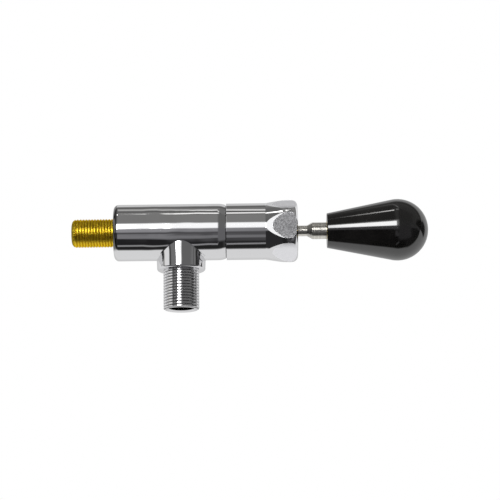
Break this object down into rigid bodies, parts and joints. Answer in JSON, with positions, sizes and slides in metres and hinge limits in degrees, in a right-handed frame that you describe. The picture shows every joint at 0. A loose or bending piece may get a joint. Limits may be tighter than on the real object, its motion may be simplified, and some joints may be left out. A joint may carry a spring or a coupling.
{
  "type": "joystick tap",
  "caption": "Self-closing tap with a round body, threaded rear inlet, threaded outlet pointing down and a joystick lever with a tapered grip that opens the valve when tilted.",
  "frame": {"origin": "on the body axis, at the rear face of the body where the inlet thread leaves it", "axes": "+X along the body axis from the inlet to the grip, -Z along the outlet, +Y away from the side that the picture shows"},
  "size_m": [0.1665, 0.0288, 0.0513],
  "materials": {
    "raw_brass": "unplated machined brass",
    "chrome_plate": "polished chrome plate on brass",
    "white_plastic": "machined white plastic",
    "stainless": "turned stainless steel",
    "turned_brass": "turned brass",
    "black_grip": "glossy moulded plastic",
    "black_rubber": "moulded rubber",
    "spring_wire": "drawn stainless wire"
  },
  "bodies": {
    "tap": {"inlet_nipple": "raw_brass", "tap_body": "chrome_plate", "outlet_nipple": "chrome_plate", "cap": "chrome_plate", "guide_bush": "turned_brass", "bush_o_ring": "black_rubber", "gland_washers": "white_plastic", "stem_o_rings": "black_rubber", "gland_nut": "turned_brass", "closing_spring": "spring_wire", "return_spring": "spring_wire"},
    "swivel": {"ball_seat_ring": "white_plastic"},
    "lever": {"joystick_lever": "stainless", "knob_insert": "turned_brass", "knob": "black_grip"},
    "plunger": {"thrust_plate": "stainless", "stem_lock_nut": "stainless", "valve_stem": "stainless", "seal_washer": "stainless", "seal_disc": "black_rubber", "seal_holder": "turned_brass"}
  },
  "joints": [
    {"name": "lever_swivel", "type": "hinge", "parent": "tap", "child": "swivel", "pos_m": [0.07885, 0, 0], "axis": [1, 0, 0], "continuous": true},
    {"name": "lever_tilt", "type": "hinge", "parent": "swivel", "child": "lever", "pos_m": [0.07885, 0, 0], "axis": [0, 1, 0], "range_deg": [0, 15], "stiffness_Nm_per_rad": 0.25, "springref_deg": -17.19},
    {"name": "plunger_slide", "type": "slide", "parent": "tap", "child": "plunger", "axis": [-1, 0, 0], "range_m": [0, 0.0019], "deforming": ["closing_spring", "return_spring"]}
  ],
  "couplings": [
    {"joint": "plunger_slide", "follows": "lever_tilt", "m_per_rad": 0.007}
  ]
}
